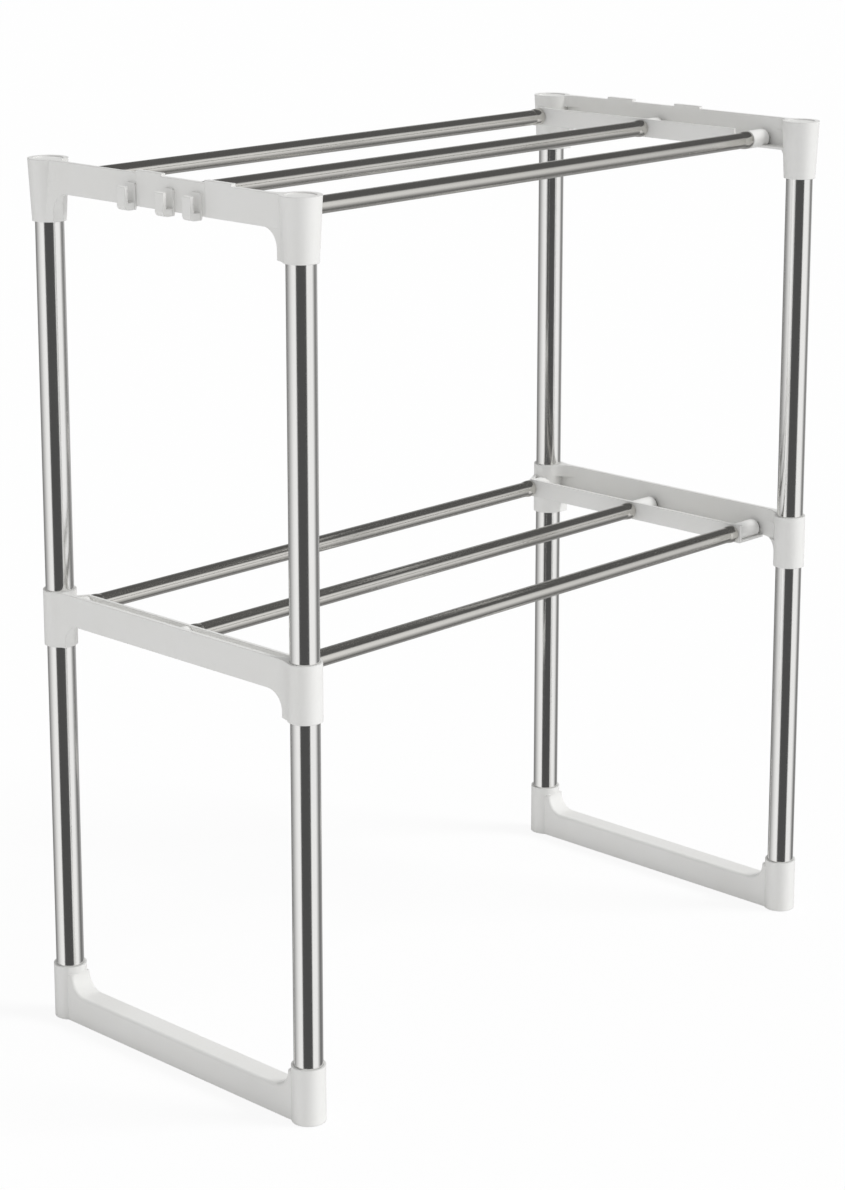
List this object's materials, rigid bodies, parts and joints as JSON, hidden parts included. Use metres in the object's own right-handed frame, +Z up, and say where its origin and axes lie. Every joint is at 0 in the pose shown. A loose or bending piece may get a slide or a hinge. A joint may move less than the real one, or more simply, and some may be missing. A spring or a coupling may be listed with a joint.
{
  "type": "two-tier microwave stand",
  "caption": "Open two-tier kitchen rack: steel tube posts and rails between white moulded end brackets, with small utensil hooks at the sides.",
  "frame": {"origin": "centre of the footprint, on the floor", "axes": "+X along the rails, +Y from the front to the rear, +Z up"},
  "size_m": [0.5556, 0.276, 0.628],
  "materials": {
    "post steel": "polished",
    "rail steel": "polished, slightly drawn lengthways",
    "screw steel": "dull",
    "bracket plastic": "satin white",
    "hook plastic": "satin white",
    "plug plastic": "satin white"
  },
  "bodies": {
    "root": {"foot_left": "bracket plastic", "foot_right": "bracket plastic", "lower_post_front_left": "post steel", "lower_post_front_right": "post steel", "lower_post_rear_left": "post steel", "lower_post_rear_right": "post steel", "middle_bracket_left": "bracket plastic", "middle_bracket_right": "bracket plastic", "middle_rail_centre": "rail steel", "middle_rail_front": "rail steel", "middle_rail_plug_centre_left": "plug plastic", "middle_rail_plug_centre_right": "plug plastic", "middle_rail_plug_front_left": "plug plastic", "middle_rail_plug_front_right": "plug plastic", "middle_rail_plug_rear_left": "plug plastic", "middle_rail_plug_rear_right": "plug plastic", "middle_rail_rear": "rail steel", "middle_rail_screws_left": "screw steel", "middle_rail_screws_right": "screw steel", "top_bracket_left": "bracket plastic", "top_bracket_right": "bracket plastic", "top_rail_centre": "rail steel", "top_rail_front": "rail steel", "top_rail_plug_centre_left": "plug plastic", "top_rail_plug_centre_right": "plug plastic", "top_rail_plug_front_left": "plug plastic", "top_rail_plug_front_right": "plug plastic", "top_rail_plug_rear_left": "plug plastic", "top_rail_plug_rear_right": "plug plastic", "top_rail_rear": "rail steel", "top_rail_screws_left": "screw steel", "top_rail_screws_right": "screw steel", "upper_post_front_left": "post steel", "upper_post_front_right": "post steel", "upper_post_rear_left": "post steel", "upper_post_rear_right": "post steel", "utensil_hook_centre_left": "hook plastic", "utensil_hook_centre_right": "hook plastic", "utensil_hook_front_left": "hook plastic", "utensil_hook_front_right": "hook plastic", "utensil_hook_rear_left": "hook plastic", "utensil_hook_rear_right": "hook plastic"}
  },
  "joints": []
}
